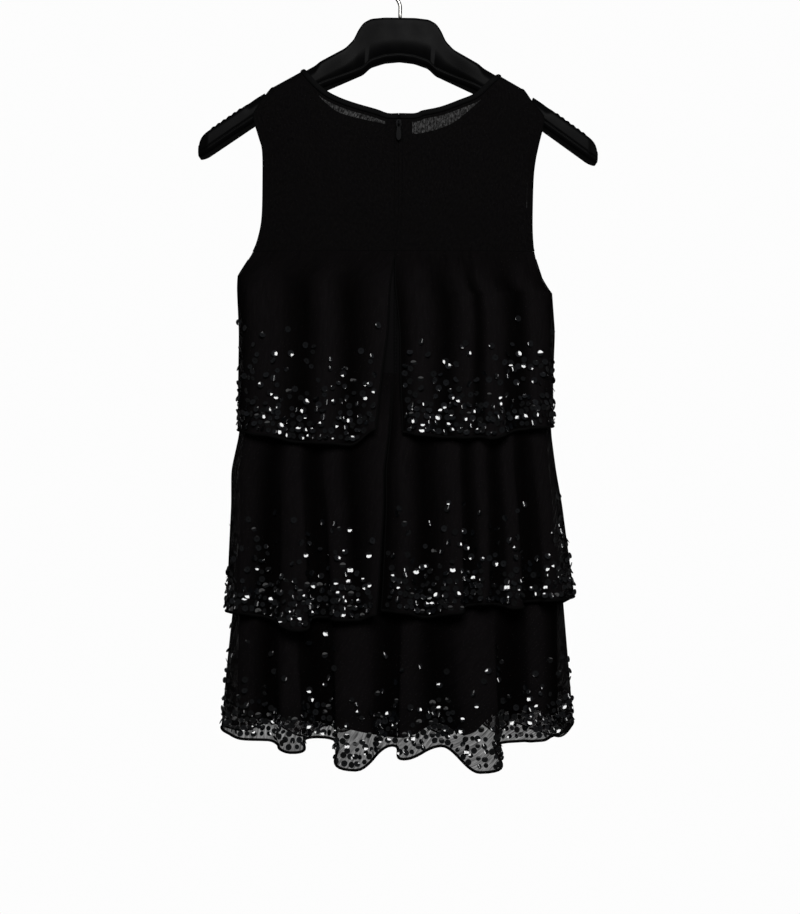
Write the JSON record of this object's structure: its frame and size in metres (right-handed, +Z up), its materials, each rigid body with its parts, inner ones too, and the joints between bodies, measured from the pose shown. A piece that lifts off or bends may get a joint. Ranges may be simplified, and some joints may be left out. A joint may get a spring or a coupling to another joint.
{
  "type": "tiered a-line dress on a coat hanger",
  "caption": "Sleeveless a-line dress with gathered sheer tiers, a sheer yoke, a bound neckline and a back zip, hung on a broad coat hanger with a hook.",
  "frame": {"origin": "where a rail touches the inside of the hanger's hook", "axes": "+Z up, -Y out of the dress's back, +X to the right as the back is looked at"},
  "size_m": [0.4387, 0.138, 0.8957],
  "materials": {
    "hanger_plastic": "satin moulded black plastic",
    "hook_steel": "bright bent wire",
    "lining": "close plain weave, black",
    "binding": "black satin bias tape",
    "chiffon": "sheer black chiffon with black sequins towards the hem",
    "sheer_crepe": "sheer black crepe",
    "zip_enamel": "black enamel on metal",
    "zip_tape": "matt woven black tape"
  },
  "bodies": {
    "dress": {"hanger_body": "hanger_plastic", "hanger_hook": "hook_steel", "lining_back_left": "lining", "lining_back_right": "lining", "lining_front": "lining", "neck_binding_back_left": "binding", "neck_binding_back_right": "binding", "neck_binding_front": "binding", "tier_1_back_left": "chiffon", "tier_1_back_right": "chiffon", "tier_1_front": "chiffon", "tier_2_back_left": "chiffon", "tier_2_back_right": "chiffon", "tier_2_front": "chiffon", "tier_3_back": "chiffon", "tier_3_front": "chiffon", "yoke_back_left": "sheer_crepe", "yoke_back_right": "sheer_crepe", "yoke_front": "sheer_crepe", "zip_slider": "zip_enamel", "zip_tape": "zip_tape"},
    "pull": {"zip_pull": "zip_enamel"}
  },
  "joints": [
    {"name": "pull_hinge", "type": "hinge", "parent": "dress", "child": "pull", "pos_m": [-0.0025, -0.02583, -0.1876], "axis": [-1, 0, 0], "range_deg": [0, 170]}
  ]
}
